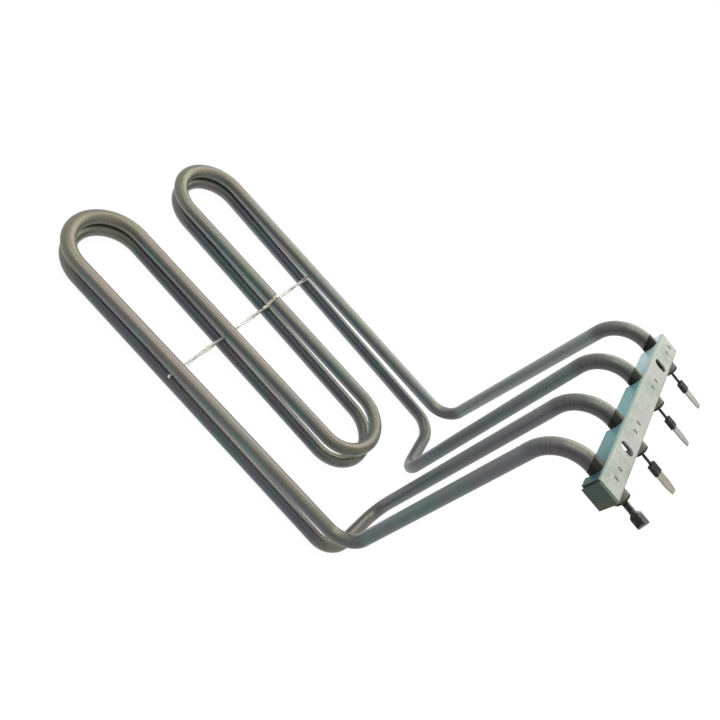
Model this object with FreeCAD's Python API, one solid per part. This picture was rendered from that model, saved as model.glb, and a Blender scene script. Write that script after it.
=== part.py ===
# Tubular heating element: two bent sheathed elements, one above the other, held by a sheet bracket.
# Frame: +Z up, the legs run along Y, the width is along X, the lower element lies on Z = 0.
# The outer turns are at the low Y end, the risers and the terminals at the high Y end.
import FreeCAD
import Part
import math
import os

V = FreeCAD.Vector
os.makedirs("parts", exist_ok=True)

# Sheath and what is inside it
TUBE_D = 8.0
TUBE_WALL = 0.7
CORE_GAP = 0.05
COIL_D = 3.2
PIN_D = 1.4

# Flat grid of four legs. The grid's length is from the outer turns to the back of the risers.
LEG_OUTER_X = 65.0
LEG_INNER_X = 21.7
GRID_LENGTH = 235.0
UPPER_TURN_TO_RISER = 29.0
LOWER_TURN_TO_RISER = 26.5
LOWER_SET_BACK = 2.3
LAYER_GAP = 0.2
LAYER_SPREAD = 7.0

# Risers, their corners and the bend over to the bracket
CORNER_R = 15.7
TOP_BEND_R = 19.0
LOWER_TOP_X = 19.3
RISER_LEAN = 0.2
JOG_START_BACK = 1.0
JOG_END_AHEAD = 4.2
JOG_R = 14.9
JOG_CORNER_R = 12.0

# Bracket of folded sheet. Its holes and stake marks are punched off their middles, towards -X by PUNCH_SHIFT.
OVERALL_HEIGHT = 176.0
SHEET = 1.0
SHEET_BEND_R = 0.5
BRACKET_LENGTH = 131.6
BRACKET_WIDTH = 13.4
BRACKET_DEPTH = 9.5
RISER_TO_BRACKET = 20.5
TUBE_TO_BRACKET_END = 11.3
END_TAB_WIDTH = 11.8
FOLD_RELIEF = 0.3
TUBE_SEAT_GAP = 0.1
SCREW_HOLE_LENGTH = 8.0
SCREW_HOLE_WIDTH = 5.0
PUNCH_SHIFT = 2.5
MARK_SPACING = 6.6
MARK_LENGTH = 2.6
MARK_WIDTH = 1.2
MARK_DEPTH = 0.3
MARK_BACK = 0.6

# Ends of the sheath and the terminals
SHEATH_PROUD = 4.1
SEAL_INSIDE = 5.0
SEAL_PROUD = 0.6
SEAL_ROUND = 0.4
PIN_INSIDE = 15.5
PIN_FREE = 7.2
PIN_IN_SHOULDER = 4.2
SHOULDER_LENGTH = 5.8
SHOULDER_WIDTH = 4.8
SHOULDER_THICKNESS = 2.2
SHOULDER_ROUND = 0.4
BLADE_WIDTH = 4.8
BLADE_LENGTH = 11.4
BLADE_THICKNESS = 0.8
BLADE_TAPER = 5.0
BLADE_TIP_WIDTH = 3.0
STUMP_WIDTH = 5.7
STUMP_LENGTH = 6.8
STUMP_FLARE = 1.6
NECK_D = 3.0
NECK_FREE = 1.2
PIN_FIT = 0.02

# Wire that keeps the legs apart, and the wire that binds it
WIRE_D = 1.2
WIRE_Y = 98.3
WIRE_PITCH = 1.9
WIRE_START_X = 68.4
WIRE_LOOP_X = 66.0
WIRE_LIFT = 0.1
BINDING_D = 0.9
BINDING_GAP = 0.15
TAIL_LENGTH = 5.0
TAIL_PITCH = 0.8
TAIL_BELOW = 60.0

# Values that follow from the sizes above
TUBE_R = TUBE_D / 2
CORE_R = TUBE_R - TUBE_WALL - CORE_GAP
OUTER_TURN_R = (LEG_OUTER_X - LEG_INNER_X) / 2
LOWER_Z = TUBE_R
LAYER_STEP = TUBE_D + LAYER_GAP
RISER_Y = GRID_LENGTH - TUBE_R
RISER_TOP_Y = RISER_Y - RISER_LEAN
UPPER_TOP_X = BRACKET_LENGTH / 2 - TUBE_TO_BRACKET_END
SCREW_HOLE_X = (UPPER_TOP_X + LOWER_TOP_X) / 2
BRACKET_FRONT_Y = RISER_Y + RISER_TO_BRACKET
BRACKET_BACK_Y = BRACKET_FRONT_Y + BRACKET_WIDTH
SHEATH_END_Y = BRACKET_BACK_Y + SHEATH_PROUD
TERMINAL_Z = OVERALL_HEIGHT - SHEET - TUBE_SEAT_GAP - TUBE_R
SEAL_END_Y = SHEATH_END_Y + SEAL_PROUD
SHOULDER_Y = SEAL_END_Y + PIN_FREE
BLADE_Y = SHOULDER_Y + SHOULDER_LENGTH
TOTAL_LENGTH = BLADE_Y + BLADE_LENGTH
MIDDLE_Y = TOTAL_LENGTH / 2

# Each terminal: its element, its place along the row, the turn of its tab and whether its blade is whole
TERMINALS = [
    ("upper", "right", UPPER_TOP_X, 61.0, False),
    ("lower", "right", LOWER_TOP_X, 8.0, True),
    ("lower", "left", -LOWER_TOP_X, -2.5, True),
    ("upper", "left", -UPPER_TOP_X, 0.0, True),
]


def save(shape, name):
    """Moves a shape so that the box of the whole part is centred over the origin, and writes it."""
    moved = shape.copy()
    moved.translate(V(0, -MIDDLE_Y, 0))
    if not moved.isValid():
        raise RuntimeError(name + " is not a valid solid")
    moved.exportStep("parts/" + name + ".step")
    print(name, "volume", round(moved.Volume, 1))


def bent_path(corners, radii):
    """A wire of straight runs through the corners, joined by tangent arcs of the given radii."""
    edges = []
    start = corners[0]
    for i in range(1, len(corners) - 1):
        incoming = (corners[i] - corners[i - 1]).normalize()
        outgoing = (corners[i + 1] - corners[i]).normalize()
        turn = math.acos(max(-1.0, min(1.0, incoming.dot(outgoing))))
        radius = radii[i - 1]
        tangent = radius * math.tan(turn / 2)
        arc_start = corners[i] - incoming * tangent
        arc_end = corners[i] + outgoing * tangent
        inward = (outgoing - incoming).normalize()
        centre = corners[i] + inward * (radius / math.cos(turn / 2))
        arc_middle = centre - inward * radius
        if start.distanceToPoint(arc_start) > 1e-3:
            edges.append(Part.LineSegment(start, arc_start).toShape())
        edges.append(Part.Arc(arc_start, arc_middle, arc_end).toShape())
        start = arc_end
    edges.append(Part.LineSegment(start, corners[-1]).toShape())
    return Part.Wire(edges)


def ring_face(centre, direction, outer_r, inner_r=0.0):
    """A disc, or a ring, across a path at its start."""
    outer = Part.Wire(Part.makeCircle(outer_r, centre, direction))
    if inner_r <= 0:
        return Part.Face(outer)
    inner = Part.Wire(Part.makeCircle(inner_r, centre, direction))
    return Part.Face(outer).cut(Part.Face(inner)).Faces[0]


def sweep(path, outer_r, inner_r=0.0):
    """A round bar or tube along a bent path."""
    first = path.OrderedEdges[0]
    start = first.valueAt(first.FirstParameter)
    direction = first.tangentAt(first.FirstParameter)
    if start.distanceToPoint(path.OrderedVertexes[0].Point) > 1e-6:
        start = first.valueAt(first.LastParameter)
        direction = first.tangentAt(first.LastParameter) * -1
    solid = path.makePipe(ring_face(start, direction, outer_r, inner_r))
    if solid.ShapeType != "Solid":
        solid = solid.Solids[0]
    return solid


def upper_level(y):
    """Height of the upper grid's axis: the layers nearly touch at the outer turns and spread from there."""
    share = (y - TUBE_R) / (RISER_Y - TUBE_R)
    return LOWER_Z + LAYER_STEP + LAYER_SPREAD * share


def upper_corners(end_y):
    """Corners of the upper element's axis, from its right end round to its left end."""
    first_y = TUBE_R
    turn_y = RISER_Y - UPPER_TURN_TO_RISER
    half = [
        V(UPPER_TOP_X, end_y, TERMINAL_Z),
        V(UPPER_TOP_X, RISER_TOP_Y, TERMINAL_Z),
        V(LEG_OUTER_X, RISER_Y, upper_level(RISER_Y)),
        V(LEG_OUTER_X, first_y, upper_level(first_y)),
        V(LEG_INNER_X, first_y, upper_level(first_y)),
        V(LEG_INNER_X, turn_y, upper_level(turn_y)),
    ]
    radii = [TOP_BEND_R, CORNER_R, OUTER_TURN_R, OUTER_TURN_R, LEG_INNER_X]
    return both_halves(half), radii + radii[::-1]


def lower_corners(end_y):
    """Corners of the lower element's axis: its outer legs turn inwards before they rise."""
    first_y = TUBE_R + LOWER_SET_BACK
    turn_y = RISER_Y - LOWER_TURN_TO_RISER
    half = [
        V(LOWER_TOP_X, end_y, TERMINAL_Z),
        V(LOWER_TOP_X, RISER_TOP_Y, TERMINAL_Z),
        V(LOWER_TOP_X, RISER_Y + JOG_END_AHEAD, LOWER_Z),
        V(LEG_OUTER_X, RISER_Y - JOG_START_BACK, LOWER_Z),
        V(LEG_OUTER_X, first_y, LOWER_Z),
        V(LEG_INNER_X, first_y, LOWER_Z),
        V(LEG_INNER_X, turn_y, LOWER_Z),
    ]
    radii = [TOP_BEND_R, JOG_CORNER_R, JOG_R, OUTER_TURN_R, OUTER_TURN_R, LEG_INNER_X]
    return both_halves(half), radii + radii[::-1]


def both_halves(half):
    """Adds the mirror image of the right half, so that the element is alike on both sides."""
    return half + [V(-corner.x, corner.y, corner.z) for corner in reversed(half)]


def along_y(x, start_y, end_y, outer_r, inner_r=0.0):
    """A round bar or tube along Y in the row of terminals."""
    bar = Part.makeCylinder(outer_r, end_y - start_y, V(x, start_y, TERMINAL_Z), V(0, 1, 0))
    if inner_r > 0:
        bore = Part.makeCylinder(inner_r, end_y - start_y, V(x, start_y, TERMINAL_Z), V(0, 1, 0))
        bar = bar.cut(bore)
    return bar


def element(name, corners_to, top_x):
    """Sheath, insulating powder and heating coil of one element."""
    corners, radii = corners_to(SHEATH_END_Y)
    sheath = sweep(bent_path(corners, radii), TUBE_R, TUBE_R - TUBE_WALL)
    save(sheath, name + "_sheath")

    coil_end_y = SHEATH_END_Y - PIN_INSIDE
    corners, radii = corners_to(coil_end_y)
    coil_path = bent_path(corners, radii)
    save(sweep(coil_path, COIL_D / 2), name + "_heating_coil")

    powder = sweep(coil_path, CORE_R, COIL_D / 2 + CORE_GAP)
    for x in (top_x, -top_x):
        powder = powder.fuse(along_y(x, coil_end_y, SHEATH_END_Y - SEAL_INSIDE, CORE_R, PIN_D / 2 + CORE_GAP))
    save(powder, name + "_insulating_powder")


def seal(x):
    """Insulating bead in the mouth of the sheath, with a rounded button outside."""
    inside = along_y(x, SHEATH_END_Y - SEAL_INSIDE, SHEATH_END_Y, CORE_R)
    button = along_y(x, SHEATH_END_Y, SEAL_END_Y, CORE_R)
    rim = [edge for edge in button.Edges if abs(edge.BoundBox.YMin - SEAL_END_Y) < 1e-6]
    button = button.makeFillet(SEAL_ROUND, rim)
    bore = along_y(x, SHEATH_END_Y - SEAL_INSIDE, SEAL_END_Y, PIN_D / 2 + PIN_FIT)
    return inside.fuse(button).cut(bore).removeSplitter()


def pin(x):
    """Cold pin from the end of the coil, out through the seal, into the shoulder of the tab."""
    return along_y(x, SHEATH_END_Y - PIN_INSIDE, SHOULDER_Y + PIN_IN_SHOULDER, PIN_D / 2)


def plate(x, points, thickness):
    """A flat plate in the row of terminals, from an outline across and along."""
    low = TERMINAL_Z - thickness / 2
    outline = [V(x + across, SHOULDER_Y + along, low) for across, along in points + points[:1]]
    return Part.Face(Part.makePolygon(outline)).extrude(V(0, 0, thickness))


def whole_tab(x):
    """A shoulder over the pin's end, and a flat blade that tapers to its tip."""
    corner = V(x - SHOULDER_WIDTH / 2, SHOULDER_Y, TERMINAL_Z - SHOULDER_THICKNESS / 2)
    shoulder = Part.makeBox(SHOULDER_WIDTH, SHOULDER_LENGTH, SHOULDER_THICKNESS, corner)
    long_edges = [edge for edge in shoulder.Edges if edge.BoundBox.YLength > SHOULDER_LENGTH / 2]
    shoulder = shoulder.makeFillet(SHOULDER_ROUND, long_edges)
    half, tip = BLADE_WIDTH / 2, BLADE_TIP_WIDTH / 2
    end = SHOULDER_LENGTH + BLADE_LENGTH
    points = [(-half, SHOULDER_LENGTH), (half, SHOULDER_LENGTH), (half, end - BLADE_TAPER),
              (tip, end), (-tip, end), (-half, end - BLADE_TAPER)]
    return shoulder.fuse(plate(x, points, BLADE_THICKNESS))


def broken_tab(x):
    """A tab without its blade: a round neck over the pin, and the stump of the shoulder."""
    neck_r, half = NECK_D / 2, STUMP_WIDTH / 2
    neck = along_y(x, SEAL_END_Y + NECK_FREE, SHOULDER_Y + STUMP_FLARE, neck_r)
    points = [(-neck_r, 0), (neck_r, 0), (half, STUMP_FLARE), (half, STUMP_LENGTH),
              (-half, STUMP_LENGTH), (-half, STUMP_FLARE)]
    return neck.fuse(plate(x, points, SHOULDER_THICKNESS))


def tab(x, turn, whole):
    """Push-on tab with a socket for the pin, turned about the pin."""
    body = whole_tab(x) if whole else broken_tab(x)
    body = body.cut(along_y(x, SEAL_END_Y, SHOULDER_Y + PIN_IN_SHOULDER, PIN_D / 2 + PIN_FIT))
    body.rotate(V(x, 0, TERMINAL_Z), V(0, 1, 0), turn)
    return body


def channel_section():
    """Outline of the folded sheet across the bracket: a web with a flange down each side."""
    front, back = BRACKET_FRONT_Y, BRACKET_BACK_Y
    top, low = OVERALL_HEIGHT, OVERALL_HEIGHT - BRACKET_DEPTH
    outer, inner = SHEET + SHEET_BEND_R, SHEET_BEND_R
    bend = math.sqrt(0.5)

    def corner_arc(y, z, side, radius):
        """Quarter round about (y, z), from the vertical flange to the level web."""
        middle = V(0, y + side * radius * bend, z + radius * bend)
        return Part.Arc(V(0, y + side * radius, z), middle, V(0, y, z + radius)).toShape()

    def run(y1, z1, y2, z2):
        return Part.LineSegment(V(0, y1, z1), V(0, y2, z2)).toShape()

    centre_z = top - outer
    edges = [
        run(front, low, front, centre_z),
        corner_arc(front + outer, centre_z, -1, outer),
        run(front + outer, top, back - outer, top),
        corner_arc(back - outer, centre_z, 1, outer),
        run(back, centre_z, back, low),
        run(back, low, back - SHEET, low),
        run(back - SHEET, low, back - SHEET, centre_z),
        corner_arc(back - outer, centre_z, 1, inner),
        run(back - outer, top - SHEET, front + outer, top - SHEET),
        corner_arc(front + outer, centre_z, -1, inner),
        run(front + SHEET, centre_z, front + SHEET, low),
        run(front + SHEET, low, front, low),
    ]
    return Part.Face(Part.Wire(Part.__sortEdges__(edges)))


def end_tab(side):
    """Tab folded down at one end of the web."""
    end = BRACKET_LENGTH / 2
    outer, inner = SHEET + SHEET_BEND_R, SHEET_BEND_R
    top, low = OVERALL_HEIGHT, OVERALL_HEIGHT - BRACKET_DEPTH
    first_y = (BRACKET_FRONT_Y + BRACKET_BACK_Y - END_TAB_WIDTH) / 2
    bend = math.sqrt(0.5)
    x_bend, z_bend = end - outer, top - outer
    x_web = end - outer - FOLD_RELIEF

    def run(x1, z1, x2, z2):
        return Part.LineSegment(V(x1, first_y, z1), V(x2, first_y, z2)).toShape()

    def arc(radius):
        middle = V(x_bend + radius * bend, first_y, z_bend + radius * bend)
        return Part.Arc(V(x_bend, first_y, z_bend + radius), middle, V(x_bend + radius, first_y, z_bend)).toShape()

    edges = [
        run(x_web, top, x_bend, top),
        arc(outer),
        run(end, z_bend, end, low),
        run(end, low, end - SHEET, low),
        run(end - SHEET, low, end - SHEET, z_bend),
        arc(inner),
        run(x_bend, top - SHEET, x_web, top - SHEET),
        run(x_web, top - SHEET, x_web, top),
    ]
    shape = Part.Face(Part.Wire(Part.__sortEdges__(edges))).extrude(V(0, END_TAB_WIDTH, 0))
    if side < 0:
        shape = shape.mirror(V(0, 0, 0), V(1, 0, 0))
    return shape


def rounded_slot(x, y, length, width, bottom, top):
    """A straight-sided hole with round ends, long along Y."""
    reach = (length - width) / 2
    middle = Part.makeBox(width, 2 * reach, top - bottom, V(x - width / 2, y - reach, bottom))
    ends = [Part.makeCylinder(width / 2, top - bottom, V(x, y + side * reach, bottom)) for side in (-1, 1)]
    return middle.fuse(ends[0]).fuse(ends[1]).removeSplitter()


def bracket():
    """Folded sheet over the four tube ends: tube slots below, two oval screw holes and stake marks on top."""
    channel_length = BRACKET_LENGTH - 2 * (SHEET + SHEET_BEND_R + FOLD_RELIEF)
    section = channel_section()
    section.translate(V(-channel_length / 2, 0, 0))
    body = section.extrude(V(channel_length, 0, 0))
    for side in (-1, 1):
        body = body.fuse(end_tab(side))
    low = OVERALL_HEIGHT - BRACKET_DEPTH
    seat_r = TUBE_R + TUBE_SEAT_GAP
    middle_y = (BRACKET_FRONT_Y + BRACKET_BACK_Y) / 2
    for x in (UPPER_TOP_X, LOWER_TOP_X, -LOWER_TOP_X, -UPPER_TOP_X):
        seat = Part.makeCylinder(seat_r, 2 * BRACKET_WIDTH, V(x, BRACKET_FRONT_Y - SHEET, TERMINAL_Z), V(0, 1, 0))
        mouth = Part.makeBox(2 * seat_r, 2 * BRACKET_WIDTH, TERMINAL_Z - low + SHEET,
                             V(x - seat_r, BRACKET_FRONT_Y - SHEET, low - SHEET))
        body = body.cut(seat.fuse(mouth))
        for side in (-1, 1):
            mark = rounded_slot(x - PUNCH_SHIFT + side * MARK_SPACING / 2, middle_y + MARK_BACK, MARK_LENGTH,
                                MARK_WIDTH, OVERALL_HEIGHT - MARK_DEPTH, OVERALL_HEIGHT + SHEET)
            body = body.cut(mark)
    for x in (SCREW_HOLE_X, -SCREW_HOLE_X):
        hole = rounded_slot(x - PUNCH_SHIFT, middle_y, SCREW_HOLE_LENGTH, SCREW_HOLE_WIDTH,
                            OVERALL_HEIGHT - 2 * SHEET, OVERALL_HEIGHT + SHEET)
        body = body.cut(hole)
    return body.removeSplitter()


def spacer_wire():
    """Hairpin of wire across all the legs, between the layers, resting on the lower tubes."""
    z = LOWER_Z + TUBE_R + WIRE_LIFT + WIRE_D / 2
    reach = WIRE_PITCH / 2
    bend_x = -WIRE_LOOP_X + reach
    first = Part.LineSegment(V(WIRE_START_X, WIRE_Y - reach, z), V(bend_x, WIRE_Y - reach, z)).toShape()
    loop = Part.Arc(V(bend_x, WIRE_Y - reach, z), V(bend_x - reach, WIRE_Y, z), V(bend_x, WIRE_Y + reach, z)).toShape()
    last = Part.LineSegment(V(bend_x, WIRE_Y + reach, z), V(WIRE_START_X, WIRE_Y + reach, z)).toShape()
    return sweep(Part.Wire([first, loop, last]), WIRE_D / 2)


def binding_wire():
    """Thin wire round one upper tube. Its two cut ends lie side by side, below the tube's side."""
    x, z = -LEG_INNER_X, upper_level(WIRE_Y)
    wire_r = BINDING_D / 2
    loop_r = TUBE_R + BINDING_GAP + wire_r
    section = ring_face(V(x + loop_r, WIRE_Y, z), V(0, 0, 1), wire_r)
    wire = section.revolve(V(x, WIRE_Y, z), V(0, 1, 0), 360)
    below = math.radians(TAIL_BELOW)
    tail_x = x + loop_r * math.cos(below)
    tail_z = z - loop_r * math.sin(below)
    for side in (-1, 1):
        start = V(tail_x, WIRE_Y + side * TAIL_PITCH / 2, tail_z)
        tail = Part.makeCylinder(wire_r, TAIL_LENGTH, start, V(1, 0, 0))
        tip = [edge for edge in tail.Edges if abs(edge.BoundBox.XMin - tail_x - TAIL_LENGTH) < 1e-6]
        wire = wire.fuse(tail.makeChamfer(wire_r / 3, tip))
    return wire


element("upper", upper_corners, UPPER_TOP_X)
element("lower", lower_corners, LOWER_TOP_X)
for which, side, place_x, tab_turn, is_whole in TERMINALS:
    label = which + "_" + side
    save(seal(place_x), label + "_seal")
    save(pin(place_x), label + "_pin")
    save(tab(place_x, tab_turn, is_whole), label + "_tab")
save(bracket(), "bracket")
save(spacer_wire(), "spacer_wire")
save(binding_wire(), "binding_wire")
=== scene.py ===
# %% [markdown]
# # A tubular heating element, dressed in Blender
#
# The object is two thin steel tubes, each bent into a flat grid and then up to a bracket of folded
# sheet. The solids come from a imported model, which is loaded as a fixed frame. This script remakes
# the two tubes, the spacer wire and the binding wire with finer meshes, adds two small flaps at the
# bracket's corners, gives every piece a finish made of nodes, and sets a camera, a floor and lamps.

# %% The fixed frame
import math

import bmesh
import bpy
from mathutils import Matrix, Vector


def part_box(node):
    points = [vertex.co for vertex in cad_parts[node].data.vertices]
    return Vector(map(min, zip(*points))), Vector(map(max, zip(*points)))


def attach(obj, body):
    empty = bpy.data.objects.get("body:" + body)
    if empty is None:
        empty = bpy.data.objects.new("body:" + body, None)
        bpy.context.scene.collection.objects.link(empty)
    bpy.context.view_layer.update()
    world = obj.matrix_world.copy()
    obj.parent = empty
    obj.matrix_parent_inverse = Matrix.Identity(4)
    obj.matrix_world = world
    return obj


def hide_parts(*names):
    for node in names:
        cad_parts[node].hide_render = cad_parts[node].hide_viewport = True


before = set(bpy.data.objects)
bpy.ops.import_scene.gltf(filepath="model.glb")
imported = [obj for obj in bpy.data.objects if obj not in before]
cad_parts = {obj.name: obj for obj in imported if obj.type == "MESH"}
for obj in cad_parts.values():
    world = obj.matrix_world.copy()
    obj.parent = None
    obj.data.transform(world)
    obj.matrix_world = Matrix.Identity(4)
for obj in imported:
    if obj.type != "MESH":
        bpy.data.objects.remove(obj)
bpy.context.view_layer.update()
BODY = "root"
MM = 0.001

# %% [markdown]
# ## The camera
#
# A picture can only be compared with a photograph if both are taken from the same place. The camera
# could be turned by eye, but a fit to the photograph's edges is exact to about a pixel. It gave a
# place, the directions right and up, a focal length in pixels and the point where the camera's axis
# meets the picture. Blender wants a lens in millimetres on a 36 mm sensor and a shift as a share of
# the width.

# %% Camera
IMAGE_SIZE = 720
FOCAL_PX = 708.6
AXIS_PX = (391.7, 395.5)
SENSOR_MM = 36.0
NEAR_CLIP = 10 * MM
CAMERA_PLACE = Vector((0.28895, -0.00621, 0.33380))
CAMERA_RIGHT = Vector((-0.46665, 0.65207, 0.59754))
CAMERA_UP = Vector((-0.51470, -0.74964, 0.41609))


def add_object(name, data):
    """A new object with its data, in the scene."""
    made = bpy.data.objects.new(name, data)
    bpy.context.scene.collection.objects.link(made)
    return made


def make_camera():
    """A camera that stands and looks as the photograph's did."""
    data = bpy.data.cameras.new("camera")
    data.sensor_width = SENSOR_MM
    data.lens = FOCAL_PX * SENSOR_MM / IMAGE_SIZE
    middle = (IMAGE_SIZE - 1) / 2
    data.shift_x = (middle - AXIS_PX[0]) / IMAGE_SIZE
    data.shift_y = (AXIS_PX[1] - middle) / IMAGE_SIZE
    data.clip_start = NEAR_CLIP
    camera = add_object("camera", data)
    back = CAMERA_RIGHT.cross(CAMERA_UP)
    turn = Matrix((CAMERA_RIGHT, CAMERA_UP, back)).transposed()
    camera.matrix_world = Matrix.Translation(CAMERA_PLACE) @ turn.to_4x4()
    bpy.context.scene.camera = camera
    print("lens:", round(data.lens, 2), "shift:", round(data.shift_x, 4), round(data.shift_y, 4))


make_camera()

# %% [markdown]
# ## A small language for nodes
#
# Finishes and shapes are both made of nodes. Written out, a sum of two masks takes five lines of
# Python, so one class wraps an output socket and lets + - * / and the comparison add the Math node.
# A second class adds any other node: it takes the node's type, its settings, and the values or
# links of its inputs.


# %% Sockets that can be added
class Socket:
    """An output of a node. Each operator adds one Math node and gives its output."""

    def __init__(self, tree, output):
        self.tree = tree
        self.output = output

    def math(self, operation, first, second):
        return self.tree.node("ShaderNodeMath", {"operation": operation}, {0: first, 1: second})

    def __add__(self, other):
        return self.math("ADD", self, other)

    def __sub__(self, other):
        return self.math("SUBTRACT", self, other)

    def __rsub__(self, other):
        return self.math("SUBTRACT", other, self)

    def __mul__(self, other):
        return self.math("MULTIPLY", self, other)

    def __truediv__(self, other):
        return self.math("DIVIDE", self, other)

    def __rtruediv__(self, other):
        return self.math("DIVIDE", other, self)

    def __gt__(self, other):
        return self.math("GREATER_THAN", self, other)

    def __lt__(self, other):
        return self.math("LESS_THAN", self, other)

    __radd__ = __add__
    __rmul__ = __mul__

    def step(self, low, high):
        """0 below low, 1 above high, and a smooth rise between them. A falling step has low above high."""
        inputs = {"Value": self, "From Min": low, "From Max": high}
        return self.tree.node("ShaderNodeMapRange", {"interpolation_type": "SMOOTHSTEP"}, inputs)


# %% Trees that add nodes
class Tree:
    """A node tree that is written from Python."""

    def __init__(self, nodes_owner):
        self.made = nodes_owner
        self.made.nodes.clear()

    def node(self, kind, settings=None, inputs=None, output=0):
        """Adds a node: settings first, then each input as a value or as a link from another output."""
        node = self.made.nodes.new(kind)
        for name, value in (settings or {}).items():
            if name == "stops":
                self.set_stops(node.color_ramp, value)
            else:
                setattr(node, name, value)
        for key, value in (inputs or {}).items():
            socket = node.inputs[key]
            if isinstance(value, Socket):
                self.made.links.new(value.output, socket)
            elif socket.type == "RGBA":
                socket.default_value = (*value, 1.0)
            else:
                socket.default_value = value
        return Socket(self, node.outputs[output]) if len(node.outputs) else node

    def set_stops(self, ramp, stops):
        """Gives a colour ramp its stops, each a place and a colour."""
        while len(ramp.elements) < len(stops):
            ramp.elements.new(1.0)
        for element, (place, colour) in zip(ramp.elements, stops):
            element.position = place
            element.color = (*colour, 1.0)

    def vectors(self, operation, first, second):
        """A number from two vectors, such as their dot product or their distance."""
        inputs = {0: first, 1: second}
        return self.node("ShaderNodeVectorMath", {"operation": operation}, inputs, output="Value")


# %% [markdown]
# ## Finishes
#
# A finish is one Principled shader whose colour, roughness and bump change over the surface. The
# patterns read the piece's own coordinates, so they stay put when the camera moves, and a value
# that is the same all over is set on the shader's socket.


# %% A finish and the patterns that it is made of
NOISE_ROUGHNESS = 0.55


class Finish(Tree):
    """A material: patterns are added with node(), and shade() joins them to one shader."""

    def __init__(self, name):
        self.material = bpy.data.materials.new(name)
        self.material.use_nodes = True
        super().__init__(self.material.node_tree)
        self.place = self.node("ShaderNodeTexCoord", output="Object")

    def along(self, axis):
        """The X, Y or Z of the surface point, in metres."""
        return self.node("ShaderNodeSeparateXYZ", inputs={0: self.place}, output=axis)

    def attribute(self, name, output="Fac"):
        """A value that the mesh carries."""
        return self.node("ShaderNodeAttribute", {"attribute_name": name}, output=output)

    def facing(self, side):
        """How far the tube's surface faces a side: 1 where it looks that way, -1 where it looks away."""
        return self.vectors("DOT_PRODUCT", self.attribute("outward", "Vector"), side)

    def noise(self, scale, detail=3.0, vector=None):
        """Cloudy noise of about 1/scale metres."""
        inputs = {"Vector": vector or self.place, "Scale": scale, "Detail": detail,
                  "Roughness": NOISE_ROUGHNESS}
        return self.node("ShaderNodeTexNoise", inputs=inputs)

    def mix(self, factor, first, second):
        """The first colour where factor is 0, the second where it is 1."""
        return self.node("ShaderNodeMix", {"data_type": "RGBA"}, {0: factor, 6: first, 7: second}, output=2)

    def ramp(self, factor, stops):
        """Colours along a factor."""
        return self.node("ShaderNodeValToRGB", {"stops": stops}, {"Fac": factor})

    def bump(self, height, distance):
        """Small relief: height from 0 to 1 stands for the distance in metres."""
        return self.node("ShaderNodeBump", inputs={"Height": height, "Distance": distance, "Strength": 1.0})

    def shade(self, **inputs):
        """Joins the values to one Principled shader and ends the tree."""
        named = {name.replace("_", " "): value for name, value in inputs.items()}
        shader = self.node("ShaderNodeBsdfPrincipled", inputs=named)
        self.node("ShaderNodeOutputMaterial", inputs={"Surface": shader})
        print("finish:", self.material.name, "nodes:", len(self.made.nodes))
        return self.material


# %% A finish for small dull parts
GRAIN_FINER = 6
GRAIN_SHINE = 0.2
GRAIN_DEPTH = 0.03 * MM


def dull_finish(name, dark, light, scale, metallic, roughness):
    """A finish of two blotched tones with a rough grain."""
    finish = Finish(name)
    blotches = finish.noise(scale)
    grain = finish.noise(scale * GRAIN_FINER, 2.0)
    colour = finish.mix(blotches.step(0.35, 0.7), dark, light)
    rough = roughness + (grain - 0.5) * GRAIN_SHINE
    relief = finish.bump(grain, GRAIN_DEPTH)
    return finish.shade(Base_Color=colour, Metallic=metallic, Roughness=rough, Normal=relief)


# %% [markdown]
# ## The sheath's finish
#
# The sheath is stainless steel that has been hot. Its legs are grey with patches of olive, tan and
# slate, its risers are teal and plum, bending left fine ripples across it, and next to the bracket
# it is nearly black. A picture of this could be painted, but three values that the mesh carries do it
# for any length of tube: how far along a point is, how strongly the tube bends there, and which way
# the surface faces. The last one also places painted light, shade and reflections in the colour. The
# finish is then a stack of tints, each laid over the ones before it through a mask. All of them share
# a few masks and noises, so these come first. A pair such as RISER_Z says where a mask starts and
# where it is full, in metres.

# %% Where a point lies on the sheath
RISER_Z = (0.014, 0.034)
RIGHT_X = (-0.030, 0.050)
STREAK_STRETCH = 30.0
STREAK_SCALE = 0.8
PATCH_SCALE = 26.0
RIPPLE_PITCH = 0.9 * MM


class SheathFinish(Finish):
    """A finish with the sheath's own values: masks from 0 to 1, streaks, patches and rings."""

    def __init__(self, name):
        super().__init__(name)
        self.x, self.y, self.z = [self.along(axis) for axis in "XYZ"]
        self.bend = self.attribute("bend")
        # How far the surface faces the lamps: the tints use it to paint light and shade.
        self.lit_side = self.attribute("upward")
        self.risen = self.z.step(*RISER_Z)
        self.right = self.x.step(*RIGHT_X)
        length = self.attribute("along")
        inputs = {"Vector": self.attribute("outward", "Vector"), "W": length * STREAK_STRETCH,
                  "Scale": STREAK_SCALE, "Detail": 2.0}
        self.streaks = self.node("ShaderNodeTexNoise", {"noise_dimensions": "4D"}, inputs)
        self.patches = self.noise(PATCH_SCALE, 2.0)
        inputs = {"W": length, "Scale": 1 / RIPPLE_PITCH, "Detail": 0.0}
        self.rings = self.node("ShaderNodeTexNoise", {"noise_dimensions": "1D"}, inputs)
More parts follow.
